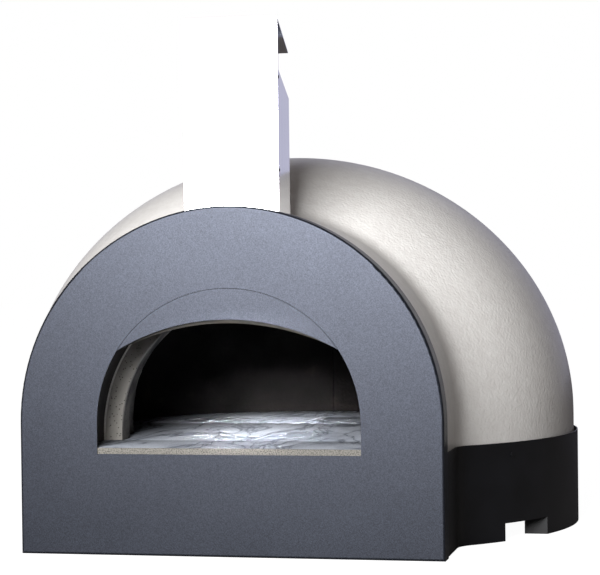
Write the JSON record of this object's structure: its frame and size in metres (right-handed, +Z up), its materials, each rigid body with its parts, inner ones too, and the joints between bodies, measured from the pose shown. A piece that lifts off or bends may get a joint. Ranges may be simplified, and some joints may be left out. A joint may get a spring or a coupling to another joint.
{
  "type": "wood fired pizza oven",
  "caption": "Domed wood fired oven: stone hearth and refractory dome in a painted steel casing, arched mouth in front and a short capped flue above it.",
  "frame": {"origin": "on the ground, under the middle of the oven's overall box", "axes": "+Z up, -Y out of the mouth, +X to the right of someone who faces the mouth"},
  "size_m": [1.03, 1.084, 0.872],
  "materials": {
    "plate_paint": "fine metallic powder coat",
    "cover_paint": "pearl paint with an orange peel texture",
    "black_paint": "satin black",
    "polished_steel": "mirror polished stainless steel",
    "refractory": "cast refractory, matte",
    "calcium_silicate": "pressed insulation board, matte",
    "ceramic_fibre": "white ceramic fibre"
  },
  "bodies": {
    "oven": {"base_skirt_left": "black_paint", "base_skirt_right": "black_paint", "skirt_brackets": "black_paint", "base_rail_left": "black_paint", "base_rail_right": "black_paint", "base_feet": "black_paint", "base_pan": "black_paint", "pan_bolts": "black_paint", "plate_brackets": "black_paint", "insulation_board_left": "calcium_silicate", "insulation_board_right": "calcium_silicate", "sill_slab": "refractory", "hearth_slab_front_left": "refractory", "hearth_slab_front_right": "refractory", "hearth_slab_rear_left": "refractory", "hearth_slab_rear_right": "refractory", "dome_segment_front_left": "refractory", "dome_segment_front_right": "refractory", "dome_segment_rear_left": "refractory", "dome_segment_rear_right": "refractory", "mouth_vault": "refractory", "dome_blanket": "ceramic_fibre", "hood_blanket": "ceramic_fibre", "front_plate": "plate_paint", "visor": "plate_paint", "visor_backing_strip": "plate_paint", "visor_spacers": "plate_paint", "smoke_hood": "black_paint", "hood_nuts": "black_paint", "hood_rope_seal": "ceramic_fibre", "flue_collar": "black_paint", "flue_gasket": "ceramic_fibre", "dome_cover": "cover_paint", "neck_seal": "ceramic_fibre", "skirt_screws": "black_paint"},
    "flue": {"flue_body": "polished_steel", "flue_front_and_cap": "polished_steel", "flue_rivets": "polished_steel"}
  },
  "joints": [
    {"name": "flue_lift", "type": "slide", "parent": "oven", "child": "flue", "axis": [0, 0, 1], "range_m": [0, 0.12]}
  ]
}
